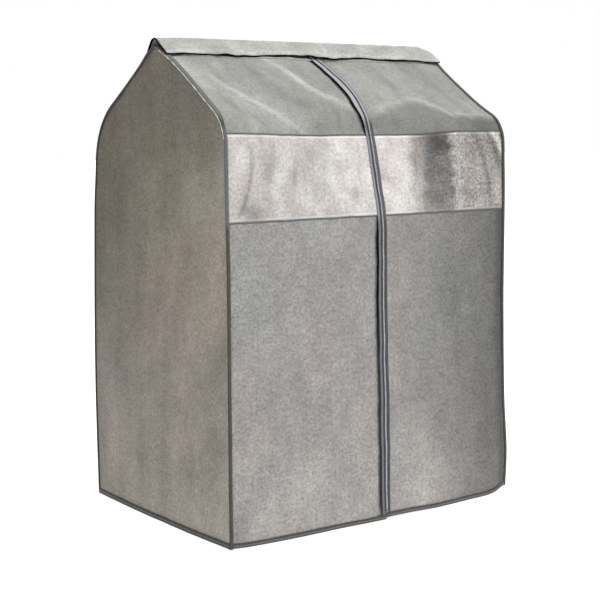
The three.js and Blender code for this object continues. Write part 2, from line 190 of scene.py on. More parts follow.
# Half way across, the front swells at its foot, and with no bar along the eave the cloth cuts the
# shoulder's corner: s, y and z there.
MIDDLE_FRONT = [
    (0.0, -0.3435, 0.0), (0.12, -0.341, 0.12), (0.3, -0.334, 0.3), (0.45, -0.325, 0.45), (0.6, -0.32, 0.6),
    (0.72, -0.32, 0.72), (0.777, -0.315, 0.777), (0.85, -0.299, 0.848), (0.92, -0.283, 0.914),
    (0.985, -0.269, 0.976), (1.038, -0.253, 1.02), (1.07, -0.2375, 1.043), (1.1, -0.2195, 1.0645),
    (1.15, -0.184, 1.094), (1.2, -0.143, 1.12), (1.3, -0.06, 1.168)]
# How far the arch's edges stand out, in mm, against the distance from the hem
LEFT_FRONT_EDGE = [(0, 3), (0.3, 1), (0.7, -1), (0.85, -5), (0.97, -6), (1.04, -3), (1.1, 0), (1.33, 0),
                   (1.376, -7)]
RIGHT_FRONT_EDGE = [(0, 14), (0.09, 18), (0.25, 8), (0.5, 1), (0.9, 0), (1.02, -5), (1.1, -11), (1.18, -10),
                    (1.28, -5), (1.335, 0), (1.376, -7)]
BACK_EDGE = [(0, 3), (0.3, 13), (0.53, 11), (0.7, 6), (0.8, 2), (0.9, -8), (1.0, -10), (1.2, -10), (1.3, -5),
             (1.335, -1), (1.376, -7)]
CREASES = [  # x and s of the soft ridges in the roof's cloth, height and width in mm
    ([(-0.16, 1.32), (-0.125, 1.24), (-0.1, 1.16), (-0.075, 1.122), (-0.018, 1.083), (0.01, 1.05)], 3.2, 12),
    ([(-0.38, 1.22), (-0.36, 1.177), (-0.325, 1.116), (-0.285, 1.075), (-0.242, 1.032), (-0.19, 1.0)],
     3.0, 10),
    ([(-0.24, 1.27), (-0.2, 1.18), (-0.15, 1.1)], 1.6, 12),
    ([(0.16, 1.29), (0.2, 1.21), (0.28, 1.14)], 1.6, 16),
    ([(0.03, 1.05), (0.095, 1.075), (0.148, 1.091), (0.21, 1.106), (0.258, 1.116)], 1.6, 9),
    ([(0.25, 1.13), (0.275, 1.08), (0.293, 1.03)], 3.4, 8),
    ([(0.293, 1.03), (0.395, 1.04), (0.443, 1.045)], 1.8, 8),
]


def along_line(x, s, points):
    """Distance to a line of points and the share of the way along it."""
    best, share = np.full(np.shape(x), 1e9), np.zeros(np.shape(x))
    points = np.array(points, float)
    count = len(points) - 1
    for i in range(count):
        a, d = points[i], points[i + 1] - points[i]
        t = np.clip(((x - a[0]) * d[0] + (s - a[1]) * d[1]) / (d @ d), 0, 1)
        distance = np.hypot(x - a[0] - t * d[0], s - a[1] - t * d[1])
        share = np.where(distance < best, (i + t) / count, share)
        best = np.minimum(best, distance)
    return best, share


def along_lines(x, s, lines, start=0.12):
    """The sum of soft bands along lines of points, each (points, height, width in mm); they fade towards
    their ends, from `start` of half a wave."""
    total = 0
    for points, height, width in lines:
        distance, share = along_line(x, s, points)
        fade = np.sin(np.pi * (start + (1 - 2 * start) * share))
        total = total + height * bell(distance, 0, width * MM) * fade
    return total


WAVES = 9  # in one field of ripples


def ripples(x, s, seed, size):
    """Soft random undulation, about -1 to 1, with wavelengths round `size`."""
    rng = np.random.default_rng(seed)
    total = np.zeros(np.shape(x))
    for _ in range(WAVES):
        angle, phase, scale = rng.uniform(0, 2 * np.pi, 3)
        k = 2 * np.pi / (size * (0.7 + 0.1 * scale))
        total = total + np.sin(k * (x * math.cos(angle) + s * math.sin(angle)) + phase)
    return total / math.sqrt(WAVES)


def edge_push(side, s):
    """Push of the arch's edge at x = side * HALF_WIDTH, outwards along its normal."""
    front = curve(s, LEFT_FRONT_EDGE if side < 0 else RIGHT_FRONT_EDGE)[..., 0]
    back = curve((TOTAL - s) * FRONT.end / BACK.end, BACK_EDGE)[..., 0]
    return MM * np.where(s > MIDDLE, back, front)


def middle_share(x, s):
    """How much a place follows the middle's profile in front, and not the edges'."""
    u = np.clip(x / HALF_WIDTH, -1, 1)
    swell = (1 - u * u) ** 0.8
    slack = smooth(x, -0.45, -0.12) * (1 - 0.88 * smooth(x, 0.17, 0.29) - 0.12 * smooth(x, 0.3, 0.45))
    share = swell + (slack - swell) * smooth(s, 0.6, 0.72)
    return share * (1 - smooth(s, 1.22, MIDDLE - 0.015))


def profile(x, s):
    """y and z of the hanging cloth's reference face, before its small pushes."""
    y, z, _, _ = arch(s)
    middle = curve(s, MIDDLE_FRONT)
    share = middle_share(x, s)
    return y + share * (middle[..., 0] - y), z + share * (middle[..., 1] - z)


def cloth_push(x, s):
    """Push of the sewn cloth at a place on the arch, outwards."""
    u = np.clip(x / HALF_WIDTH, -1, 1)
    across = (1 - u * u) ** 0.8
    left, right = edge_push(-1, s), edge_push(1, s)
    push = left * ((1 - u) / 2) ** 3 + right * ((1 + u) / 2) ** 3
    back_s = TOTAL - s
    slack = 9 * MM * bell(back_s, 0.25, 0.35) - 16 * MM * bell(back_s, 0.95, 0.12)
    slack = slack - 5 * MM * np.sin(np.pi * smooth(back_s, WINDOW_TOP, BACK.end))
    push = push + np.where(s > MIDDLE, across * slack, 0)
    near_ridge = smooth(np.abs(s - MIDDLE), 0, 0.06)
    soft = 1.5 * MM * ripples(x, s, 3, 0.21) + 0.5 * MM * ripples(x, s, 8, 0.07)
    push = push + soft * across ** 0.5 * near_ridge
    return push + MM * along_lines(x, s, CREASES)


def zip_groove(x, s):
    """The cloth falls in beside the zip's left tape, along the roof and the lower panels."""
    beside_film = smooth(s, WINDOW_BOTTOM - 0.02, WINDOW_BOTTOM) * (1 - smooth(s, SEAM, SEAM + 0.02))
    from_zip = x - zip_x(s)
    depth = np.where(from_zip < 0, 4.0, 1.2) * MM * (1 - 0.8 * beside_film)
    return -depth * bell(np.abs(from_zip), 22 * MM, 8 * MM) * (s < MIDDLE - 0.03)


def hem_lift(x, y, z):
    """The hem rises and rounds off at the front's right-hand corner, and along the right-hand flap."""
    corner = bell(HALF_WIDTH - np.abs(x), 0, 0.04) * bell(HALF_DEPTH - np.abs(y), 0, 0.11)
    corner = corner * np.where((x > 0) & (y < 0), 1.0, 0.15)
    flap = (x > zip_x(z)) * (y < 0) * smooth(np.abs(y), 0.2, 0.29)
    drawn_up = flap * 4 * MM * (1 - smooth(x, 0.02, 0.2)) * (1 - corner)
    return (17 * MM * corner + drawn_up) * (1 - smooth(z, 0.02, 0.3))


def on_arch(x, s, lift=0.0, groove=0.0):
    """Points over the hanging cloth's outer reference face."""
    x, s, lift = np.broadcast_arrays(x, s, lift)
    y, z = profile(x, s)
    (y0, z0), (y1, z1) = profile(x, s - MM), profile(x, s + MM)
    along = np.hypot(y1 - y0, z1 - z0)
    ny, nz = (z0 - z1) / along, (y1 - y0) / along
    push = lift + cloth_push(x, s) + groove * zip_groove(x, s)
    y, z = y + ny * push, z + nz * push
    return np.stack([x, y, z + hem_lift(x, y, z)], -1)


# ---- Painted light and shade on the cloth: how light each place is painted, against the cloth's own colour

FOLD_LINE = [  # x and s where the roof's cloth turns down, and how much shade is painted below it
    (-0.45, 1.06, 0.1), (-0.42, 1.035, 0.1), (-0.39, 1.004, 0.08), (-0.3, 1.0, 0.06), (-0.2, 0.998, 0.1),
    (-0.155, 1.03, 0.12), (-0.11, 1.06, 0.16), (-0.075, 1.08, 0.2), (-0.018, 1.072, 0.22),
    (0.02, 1.045, 0.26), (0.095, 1.07, 0.3), (0.148, 1.09, 0.3), (0.19, 1.11, 0.3), (0.24, 1.105, 0.3),
    (0.27, 1.075, 0.3), (0.293, 1.04, 0.38), (0.35, 1.042, 0.4), (0.41, 1.04, 0.4), (0.45, 1.03, 0.4)]
ROOF_PAINTED_LIGHT_BANDS = [  # painted highlights and shade in soft bands across the roof, most along its creases: x and s along them, change, width in mm
    ([(-0.16, 1.32), (-0.125, 1.24), (-0.1, 1.16), (-0.075, 1.122), (-0.018, 1.083)], 0.6, 13),
    ([(-0.23, 1.28), (-0.235, 1.2), (-0.21, 1.12), (-0.16, 1.09), (-0.1, 1.07)], -0.17, 26),
    ([(-0.36, 1.2), (-0.34, 1.13), (-0.3, 1.08), (-0.25, 1.05), (-0.2, 1.01)], 0.2, 30),
    ([(-0.38, 1.22), (-0.36, 1.177), (-0.325, 1.116), (-0.285, 1.075), (-0.242, 1.032), (-0.18, 0.99)],
     0.4, 8),
    ([(-0.065, 1.075), (-0.068, 1.0)], -0.16, 7),
    ([(-0.43, 1.32), (-0.42, 1.24), (-0.4, 1.14)], 0.42, 26),
    ([(-0.4, 1.12), (-0.37, 1.06), (-0.3, 1.01)], -0.1, 16),
    ([(-0.02, 1.06), (-0.035, 1.0)], -0.12, 7), ([(-0.12, 1.05), (-0.12, 1.0)], -0.1, 18),
    ([(0.03, 1.055), (0.095, 1.082), (0.148, 1.097), (0.21, 1.113), (0.255, 1.12)], 0.16, 12),
    ([(0.2, 1.125), (0.245, 1.115), (0.275, 1.08), (0.295, 1.045)], 0.3, 8),
    ([(0.295, 1.048), (0.35, 1.052), (0.42, 1.05)], 0.22, 7),
    ([(0.06, 1.3), (0.1, 1.23), (0.12, 1.13)], 0.12, 16),
]
FILM_PAINTED_LIGHT_BANDS = [  # the same painted light and shade for the window's film: creases at the left, streaks slanting down at the right
    ([(-0.372, 0.96), (-0.37, 0.9), (-0.385, 0.84), (-0.41, 0.79)], -0.42, 5),
    ([(-0.4, 0.815), (-0.35, 0.785)], -0.5, 28),
    ([(-0.225, 0.93), (-0.245, 0.85)], -0.26, 8),
    ([(-0.3, 0.97), (-0.32, 0.9), (-0.318, 0.82)], -0.16, 12),
    ([(-0.08, 0.97), (-0.07, 0.8)], 0.08, 30),
    ([(0.335, 1.0), (0.372, 0.92), (0.392, 0.85), (0.4, 0.79)], -0.5, 8),
    ([(0.385, 1.01), (0.415, 0.94), (0.44, 0.87)], -0.62, 9),
    ([(0.29, 0.93), (0.33, 0.88), (0.35, 0.83)], 0.3, 16),
    ([(0.405, 0.99), (0.428, 0.96), (0.445, 0.92)], 1.5, 7),
    ([(0.415, 0.86), (0.43, 0.8)], 0.3, 14),
    ([(0.3, 0.785), (0.38, 0.8)], 0.35, 14),
]


# Painted light on the roof: painted shade below the fold line, deeper at the right, painted highlights and
# shade along the bands, and a little random change.
def roof_painted_light(x, s):
    light = 1 + along_lines(x, s, ROOF_PAINTED_LIGHT_BANDS, 0.15)
    at, fold_at, depth_at = np.transpose(FOLD_LINE)
    fold, depth = np.interp(x, at, fold_at), np.interp(x, at, depth_at)
    shade = smooth(fold + 4 * MM * ripples(x, s, 14, 0.05) - s, -10 * MM, 22 * MM)
    light = light * (1 - depth * shade) * (1 - 0.24 * smooth(x, 0.26, 0.4) * shade)
    return light * (1 + 0.035 * ripples(x, s, 15, 0.09))


def front_painted_light(x, s):
    """Painted light on the lower panels: painted shade grows to the right, and they are painted lighter
    towards the floor, with painted shade in the left foot corner and a painted light spot low in the middle.
    """
    fade = 1 - 0.54 * smooth(x, -0.02, 0.47)
    painted_corner_shade = 0.25 * bell(x, -0.44, 0.05) * bell(s, 0.03, 0.07)
    painted_light_spot = 0.34 * bell(x, 0.15, 0.1) * bell(s, 0.06, 0.1)
    low = 1 - painted_corner_shade + 0.14 * (1 - smooth(s, 0.1, 0.34)) + painted_light_spot
    low = low * (1 - 0.4 * smooth(x, 0.405, 0.435))
    return fade * low * (1 + 0.05 * ripples(x, s, 16, 0.22) + 0.03 * ripples(x, s, 17, 0.08))


SIDE_PAINTED_LIGHT = [  # z, and how light a gable end is painted there at its front and at its back
    (0.0, 1.2, 1.04), (0.1, 1.1, 1.0), (0.17, 1.02, 0.93), (0.3, 0.95, 0.84), (0.43, 0.92, 0.74),
    (0.55, 0.93, 0.6), (0.68, 0.93, 0.51), (0.78, 0.92, 0.45), (0.87, 0.85, 0.43), (0.95, 0.6, 0.44),
    (1.25, 0.43, 0.43)]


def side_painted_light(y, z):
    """Painted shade: a gable end is painted dark under the eaves and down most of its back, and lighter at
    its foot.
    """
    back = (y + HALF_DEPTH) / (2 * HALF_DEPTH)
    heights, at_front, at_back = np.transpose(SIDE_PAINTED_LIGHT)
    front_share = 1 - smooth(back, 0.1, 1.0)
    light = np.interp(z, heights, at_back) * (1 - front_share) + np.interp(z, heights, at_front) * front_share
    return light * (1 + 0.04 * ripples(y, z * 0.16, 18, 0.1) + 0.04 * ripples(y, z, 19, 0.2))


def film_painted_light(x, s):
    """Painted light on the film: milky on the left; right of the zip a painted bright reflection, a painted
    dark patch where the dark inside shows through, then painted streaks of light and shade.
    """
    wander = 7 * MM * ripples(x, s, 20, 0.05)
    height = s - 0.88
    start, end = 0.145 + 0.11 * height + wander, 0.283 - 0.05 * height + wander
    patch = 0.55 * smooth(x, start - 0.015, start + 0.02) + 0.45 * smooth(x, start + 0.02, start + 0.06)
    patch = patch * (1 - smooth(x, end - 0.03, end + 0.012))
    beyond = smooth(x, end - 0.02, end + 0.02)
    light = (1 + along_lines(x, s, FILM_PAINTED_LIGHT_BANDS, 0.15)) * (0.92 + 0.18 * smooth(x, -0.16, 0.03))
    light = light * (1 - 0.5 * beyond) * (1 - patch * (0.74 + 0.9 * height + 0.05 * ripples(x, s, 26, 0.06)))
    return light * (1 + 0.05 * ripples(x, s * 0.4, 22, 0.05) + 0.05 * ripples(x, s, 23, 0.07))


# ---- Making meshes

def stacked(*parts):
    """Arrays and numbers side by side, as points, directions or places on the flat cloth."""
    return np.stack(np.broadcast_arrays(*parts), -1)


def unit(vectors):
    return vectors / np.linalg.norm(vectors, axis=1)[:, None]


def make_object(name, vertices, faces, cut=None, material=None, light=None):
    """A smooth-shaded mesh. For the materials, `cut` holds each vertex's place on its flat cloth and
    `light` the light and shade painted on the cloth there."""
    mesh = bpy.data.meshes.new(name)
    mesh.from_pydata([tuple(v) for v in np.reshape(vertices, (-1, 3))], [], [tuple(f) for f in faces])
    mesh.polygons.foreach_set("use_smooth", [True] * len(mesh.polygons))
    for key, kind, field, values in (("cut", "FLOAT_VECTOR", "vector", cut),
                                     ("light", "FLOAT", "value", light)):
        if values is not None:
            attribute = mesh.attributes.new(key, kind, "POINT")
            attribute.data.foreach_set(field, np.asarray(values, np.float32).ravel())
    mesh.update()
    made = bpy.data.objects.new(name, mesh)
    bpy.context.scene.collection.objects.link(made)
    if material:
        mesh.materials.append(material)
    return made


def quads(rows, columns, closed=False):
    """Faces of a grid of rows x columns points; `closed` joins each row's last point to its first."""
    i, j = np.meshgrid(np.arange(rows - 1), np.arange(columns if closed else columns - 1), indexing="ij")
    k = (j + 1) % columns
    this, after = i * columns, (i + 1) * columns
    return stacked(this + j, this + k, after + k, after + j).reshape(-1, 4)


def solidify(piece, thickness):
    """Gives a sheet its thickness, inwards from its outer face."""
    modifier = piece.modifiers.new("thickness", "SOLIDIFY")
    modifier.thickness = thickness
    modifier.offset = -1.0
    return piece


def steps(start, end, cell):
    """Even places from start to end, about a cell apart."""
    return np.linspace(start, end, max(2, int(round(abs(end - start) / cell)) + 1))


def value_at(edge, s):
    """The value at s of an edge that is a number or a function of s."""
    return edge(s) if callable(edge) else np.full(np.shape(s), float(edge))


def arch_sheet(name, start, end, left, right, lift, thickness, material, cell=CELL, groove=0.0, seed=0.0,
               light=None):
    """A sheet of cloth on the arch, from s = start to end, between two edges."""
    s = steps(start, end, cell)[:, None]
    left, right = value_at(left, s), value_at(right, s)
    columns = max(2, int(round(float(np.max(right - left)) / cell)) + 1)
    x, s = np.broadcast_arrays(left + (right - left) * np.linspace(0, 1, columns), s)
    piece = make_object(name, on_arch(x, s, lift, groove), quads(*x.shape), stacked(x, s, seed), material,
                        light(x, s) if light else None)
    return solidify(piece, thickness)


def rounded_section(low_a, high_a, low_n, high_n, radius, per_corner=3):
    """A rounded rectangle, as (across, outwards) points, turning one way round."""
    corners = [(high_a - radius, high_n - radius, 0), (low_a + radius, high_n - radius, 90),
               (low_a + radius, low_n + radius, 180), (high_a - radius, low_n + radius, 270)]
    points = []
    for a, n, start in corners:
        for k in range(per_corner):
            turn = math.radians(start + 90 * k / (per_corner - 1))
            points.append((a + radius * math.cos(turn), n + radius * math.sin(turn)))
    return np.array(points)


def sweep(name, origins, across, outward, section, cut, material, flip=False):
    """A bar with a section drawn along `across` and `outward` at each origin, with closed ends."""
    rows, columns = len(origins), np.shape(section)[-2]
    across, outward = (np.broadcast_to(v, (rows, 3))[:, None] for v in (across, outward))
    section = np.broadcast_to(section, (rows, columns, 2))
    points = origins[:, None] + across * section[..., :1] + outward * section[..., 1:]
    faces = [tuple(f) for f in quads(rows, columns, closed=True)]
    faces += [tuple(range(columns))[::-1], tuple(range((rows - 1) * columns, rows * columns))]
    if flip:
        faces = [f[::-1] for f in faces]
    return make_object(name, points, faces, cut[:, None] + stacked(section[..., 0], 0, 0), material)


def bead_shape():
    """A small bean as unit offsets: two rings and two tips, its length along the first axis."""
    sides = 6
    offsets = [(-1, 0, 0)]
    for a in (-0.55, 0.55):
        for k in range(sides):
            turn = 2 * math.pi * k / sides
            offsets.append((a, math.cos(turn) * 0.84, math.sin(turn) * 0.84))
    offsets.append((1, 0, 0))
    around = [(k, (k + 1) % sides) for k in range(sides)]
    faces = [(0, 1 + j, 1 + k) for k, j in around]
    faces += [(1 + k, 1 + j, 1 + sides + j, 1 + sides + k) for k, j in around]
    faces += [(2 * sides + 1, 1 + sides + k, 1 + sides + j) for k, j in around]
    return np.array(offsets), faces


def beads(name, x, s, size, turn, lift, material):
    """Many small beans on the arch: size is (half length, half width, half height) and turn the angle of
    their length from the x axis."""
    offsets, faces = bead_shape()
    along, wide, high = (offsets * size).T
    x = x[:, None] + along * np.cos(turn) - wide * np.sin(turn)
    s = s[:, None] + along * np.sin(turn) + wide * np.cos(turn)
    every = [tuple(len(offsets) * i + v for v in face) for i in range(len(x)) for face in faces]
    return make_object(name, on_arch(x, s, lift + high), every, stacked(x, s, high), material)


# ---- Materials

class Shader:
    """A node material with one Principled shader."""

    def __init__(self, name, roughness=0.8, metallic=0.0, specular=0.5, sheen=0.0, coat=0.0):
        self.material = bpy.data.materials.new(name)
        self.material.use_nodes = True
        self.tree = self.material.node_tree
        self.tree.nodes.clear()
        self.shader = self.tree.nodes.new("ShaderNodeBsdfPrincipled")
        output = self.tree.nodes.new("ShaderNodeOutputMaterial")
        self.feed(output.inputs[0], self.shader.outputs[0])
        levels = {"Roughness": roughness, "Metallic": metallic, "Specular IOR Level": specular,
                  "Sheen Weight": sheen, "Coat Weight": coat}
        for socket, value in levels.items():
            self.shader.inputs[socket].default_value = value

    def feed(self, socket, value):
        if isinstance(value, bpy.types.NodeSocket):
            self.tree.links.new(value, socket)
        else:
            socket.default_value = value

    def node(self, kind, *numbered, **named):
        """A node with its inputs fed, the first ones in order and others by name."""
        made = self.tree.nodes.new("ShaderNode" + kind)
        for key, value in [*enumerate(numbered), *named.items()]:
            self.feed(made.inputs[key], value)
        return made

    def attribute(self, name, output):
        made = self.node("Attribute")
        made.attribute_name = name
        return made.outputs[output]

    def cut(self):
        return self.attribute("cut", "Vector")

    def object_place(self):
        return self.node("TexCoord").outputs["Object"]

    def stretched(self, vector, scale, turn=0.0):
        return self.node("Mapping", Vector=vector, Rotation=(0.0, 0.0, turn), Scale=scale).outputs[0]

    def noise(self, vector, scale, detail=3.0, rough=0.5, distortion=0.0):
        return self.node("TexNoise", Vector=vector, Scale=scale, Detail=detail, Roughness=rough,
                         Distortion=distortion).outputs[0]

    def math(self, operation, a, b=0.0):
        made = self.node("Math", a, b)
        made.operation = operation
        return made.outputs[0]

    def weighted(self, *terms):
        """The sum of (socket, weight) terms."""
        total = None
        for socket, weight in terms:
            part = self.math("MULTIPLY", socket, weight)
            total = part if total is None else self.math("ADD", total, part)
        return total

    def ranged(self, value, low, high, to_low=0.0, to_high=1.0, kind="SMOOTHSTEP"):
        made = self.node("MapRange", value, low, high, to_low, to_high)
        made.interpolation_type = kind
        return made.outputs[0]

    def mix(self, share, a, b, blend="MIX"):
        made = self.tree.nodes.new("ShaderNodeMix")
        made.data_type = "RGBA"
        made.blend_type = blend
        for i, value in ((0, share), (6, a), (7, b)):
            self.feed(made.inputs[i], value)
        return made.outputs[2]

    def times(self, colour, factor):
        grey = self.node("CombineXYZ", factor, factor, factor).outputs[0]
        return self.mix(1.0, colour, grey, "MULTIPLY")

    def painted_light_on_mesh(self, colour):
        """The colour times the light and shade painted on the mesh."""
        return self.times(colour, self.attribute("light", "Fac"))

    def ramp(self, value, *stops):
        made = self.node("ValToRGB", value)
        elements = made.color_ramp.elements
        for element, (at, colour) in zip(elements, stops):
            element.position, element.color = at, colour
        for at, colour in stops[2:]:
            elements.new(at).color = colour
        return made.outputs[0]

    def parts(self, vector):
        return self.node("SeparateXYZ", vector).outputs

    def finish(self, colour, *layers):
        """The material with its colour and its bump layers, each (height, strength, distance in metres)."""
        self.feed(self.shader.inputs["Base Color"], colour)
        normal = None
        for height, strength, distance in layers:
            made = self.node("Bump", Height=height, Strength=strength, Distance=distance)
            if normal is not None:
                self.feed(made.inputs["Normal"], normal)
            normal = made.outputs[0]
        if normal is not None:
            self.feed(self.shader.inputs["Normal"], normal)
        return self.material


# How much light the studio gives each part of the tent, against a white card facing the sky
ROOF_LIGHT, FRONT_LIGHT, SIDE_LIGHT = 1.96, 1.72, 1.10
LEFT_EDGE_LIGHT, RIGHT_EDGE_LIGHT, HEM_LIGHT = 1.5, 1.4, 1.3
OWN_COLOUR = 1.0  # the colour as it is given


def under(light, rgb):
    """The linear colour of a surface that looks like rgb, 0 to 255, in that much light."""
    linear = (c / 255 / 12.92 if c <= 10.3 else ((c / 255 + 0.055) / 1.055) ** 2.4 for c in rgb)
    return (*(c / light for c in linear), 1.0)


def grey_scale(factor):
    return (factor, factor, factor, 1.0)


def cloth_material(name, lit, dark, light, streak=0.16, low=None, grain=0.34, turn=0.0,
                   tints=((1.03, 0.985, 0.99, 1.0), (0.985, 1.004, 1.0, 1.0))):
    """Non-woven cloth with a suede-like nap, from a dark to a light mottle, drifting between two tints.
    Its streaks hang down, or lie at an angle `turn`; `low` is a tint for its foot."""
    m = Shader(name, roughness=0.92, specular=0.22, sheen=0.1)
    cut = m.cut()
    clouds = m.noise(cut, 7.0, 5.0, 0.6, 0.6)
    hanging = m.noise(m.stretched(cut, (1.0, 0.16, 1.0), turn), 24.0 if turn else 12.0, 4.0, 0.62)
    blots = m.noise(cut, 38.0, 4.0, 0.62)
    nap = m.noise(cut, 120.0, 6.0, 0.78)
    felt = m.noise(cut, 330.0, 3.0, 0.7)
    value = m.weighted((clouds, 0.36), (hanging, streak), (blots, 0.64 - streak))
    colour = m.ramp(value, (0.36, under(lit, dark)), (0.64, under(lit, light)))
    if low:
        colour = m.mix(m.ranged(m.parts(cut)[1], 0.95, 0.15), colour, m.mix(1.0, colour, low, "MULTIPLY"))
    drift = m.ranged(m.noise(m.stretched(cut, (1.0, 0.5, 1.0)), 6.0, 3.0, 0.55), 0.36, 0.64)
    colour = m.mix(1.0, colour, m.mix(drift, *tints), "MULTIPLY")
    speckle = m.weighted((nap, 0.6), (felt, 0.4))
    colour = m.times(colour, m.ranged(speckle, 0.36, 0.64, 1 - grain, 1 + grain, "LINEAR"))
    return m.finish(m.painted_light_on_mesh(colour), (blots, 0.4, MM), (nap, 0.6, 0.6 * MM), (felt, 0.5, 0.2 * MM))


def film_material():
    """The window strip: a satin film with a cloudy, speckled mottle, whose light and dark clouds paint its
    blurred reflections, and a painted highlight along its seams.
    """
    m = Shader("window_film", roughness=0.42, specular=0.35, coat=0.08)
    cut = m.cut()
    x, s = m.parts(cut)[:2]
    streaks = m.noise(m.stretched(cut, (1.0, 0.22, 1.0)), 16.0, 4.0, 0.62, 0.5)
    clouds = m.noise(cut, 14.0, 5.0, 0.62, 0.6)
    speckle = m.noise(cut, 120.0, 5.0, 0.78)
    value = m.weighted((streaks, 0.4), (clouds, 0.6))
    colour = m.ramp(value, *((at, under(FRONT_LIGHT, rgb)) for at, rgb in (
        (0.36, (188, 178, 172)), (0.5, (205, 200, 196)), (0.64, (222, 219, 216)))))
    grain = m.ranged(x, 0.1, 0.3, 0.26, 0.6)
    spread = m.ranged(speckle, 0.36, 0.64, -1.0, 1.0, "LINEAR")
    colour = m.times(colour, m.math("ADD", m.math("MULTIPLY", spread, grain), 1.0))
    # Painted highlight: the film's edges catch the light along the seams.
    edge = m.math("MINIMUM", m.math("SUBTRACT", s, WINDOW_BOTTOM), m.math("SUBTRACT", SEAM, s))
    colour = m.mix(m.ranged(edge, 7 * MM, 5 * MM, 0.0, 0.6), colour, under(FRONT_LIGHT, (244, 243, 241)))
    return m.finish(m.painted_light_on_mesh(colour), (clouds, 0.4, 2 * MM), (speckle, 0.45, 0.5 * MM))


def trim_material(name, lit, dark, light, ribs=None, roof=None, film=None, foot=None, line=None, gloss=1.0):
    """Woven tape with a little fading; `ribs` is their depth of shade and pitch. `roof`, `film` and `foot`
    are its colours over the roof, beside the window and near the floor; the lighter colour over the roof
    is painted light. `line` is the stitched line along a hem's middle."""
    m = Shader(name, roughness=0.85, specular=0.3 * gloss, sheen=0.08 * gloss)
    cut = m.cut()
    across, s = m.parts(cut)[:2]
    fade = m.noise(cut, 30.0, 4.0, 0.6)
    weave = m.noise(m.stretched(cut, (1.0, 2.2, 1.0)), 520.0, 2.0, 0.6)
    value = m.weighted((fade, 0.6), (weave, 0.4))
    colour = m.ramp(value, (0.34, under(lit, dark)), (0.66, under(lit, light)))
    # Painted light: over the roof the tape takes a lighter colour.
    spans = ((roof, ROOF_LIGHT, (FRONT.roof - 0.05, FRONT.roof), (TOTAL - BACK.wall, TOTAL - BACK.roof)),
             (film, lit, (WINDOW_BOTTOM - 0.02, WINDOW_BOTTOM), (SEAM + 0.03, SEAM)))
    for rgb, light_there, rise, fall in spans:
        if rgb:
            share = m.math("MULTIPLY", m.ranged(s, *rise), m.ranged(s, *fall))
            share = m.math("MULTIPLY", share, m.ranged(value, 0.2, 0.7, 0.75, 1.0))
            colour = m.mix(share, colour, under(light_there, rgb))
    if foot:
        colour = m.mix(m.ranged(s, 0.62, 0.3), colour, under(lit, foot))
    if line:
        off_centre = m.math("ABSOLUTE", m.math("SUBTRACT", across, HEM_SHOWN * 0.55))
        colour = m.mix(m.ranged(off_centre, 2.6 * MM, 0.8 * MM, 0.0, 0.8), colour, under(lit, line))
    layers = [(weave, 0.5, 0.3 * MM)]
    if ribs:
        shade, pitch = ribs
        wave = m.math("SINE", m.math("MULTIPLY", s, 2 * math.pi / pitch))
        colour = m.times(colour, m.ranged(wave, -1, 1, 1 - shade, 1 + shade, "LINEAR"))
        layers.append((wave, 0.5, 0.35 * MM))
    return m.finish(colour, *layers)


def plain_material(name, lit, dark, light, scale, roughness, metallic=0.0, coat=0.0, bump=0.15 * MM,
                   by_cut=False):
    """Metal or moulded plastic: slow colour change, fine surface texture and uneven gloss."""
    m = Shader(name, roughness=roughness, metallic=metallic, coat=coat)
    vector = m.cut() if by_cut else m.object_place()
    broad = m.noise(vector, scale, 4.0, 0.6)
    fine = m.noise(vector, scale * 30, 3.0, 0.6)
    value = m.weighted((broad, 0.65), (fine, 0.35))
    uneven = m.ranged(broad, 0.3, 0.7, roughness - 0.12, roughness + 0.12, "LINEAR")
    m.feed(m.shader.inputs["Roughness"], uneven)
    return m.finish(m.ramp(value, (0.35, under(lit, dark)), (0.65, under(lit, light))), (fine, 0.4, bump))


ROOF = cloth_material("roof_cloth", ROOF_LIGHT, (154, 155, 150), (187, 188, 182), 0.34,
                      turn=math.radians(-38), tints=((1.0, 1.0, 0.98, 1.0), (0.985, 0.99, 1.02, 1.0)))
BODY = cloth_material("body_cloth", FRONT_LIGHT, (143, 143, 141), (168, 167, 164),
                      low=(1.0, 0.975, 0.965, 1.0), grain=0.52)
# The gable cloth is the body's grey cloth with painted light: a warmer brown where light comes through it in
# shade, and a cooler tint towards its foot.
SIDE = cloth_material("side_cloth", SIDE_LIGHT, (114, 108, 95), (144, 137, 123), 0.3,
                      low=(1.0, 1.03, 1.16, 1.0), grain=0.48)
FILM = film_material()
# The bindings are one dark tape; their lighter colour over the roof is painted light.
BINDING_LEFT = trim_material("binding_tape_left", LEFT_EDGE_LIGHT, (56, 56, 53), (76, 75, 72),
                             roof=(118, 122, 118), film=(98, 100, 112))
BINDING_RIGHT = trim_material("binding_tape_right", RIGHT_EDGE_LIGHT, (54, 54, 52), (74, 74, 71),
                              roof=(104, 106, 104))
BINDING = trim_material("binding_tape", RIGHT_EDGE_LIGHT, (54, 54, 52), (74, 74, 71))
HEM = trim_material("hem_tape", HEM_LIGHT, (50, 50, 48), (72, 71, 69), line=(104, 103, 101))
# The welts' dark colour paints the shadow line along each seam.
SEAM_TAPE = trim_material("seam_welt", FRONT_LIGHT, (78, 78, 80), (112, 112, 118))
PIPING = trim_material("raw_edge", LEFT_EDGE_LIGHT, (176, 172, 160), (236, 232, 220))
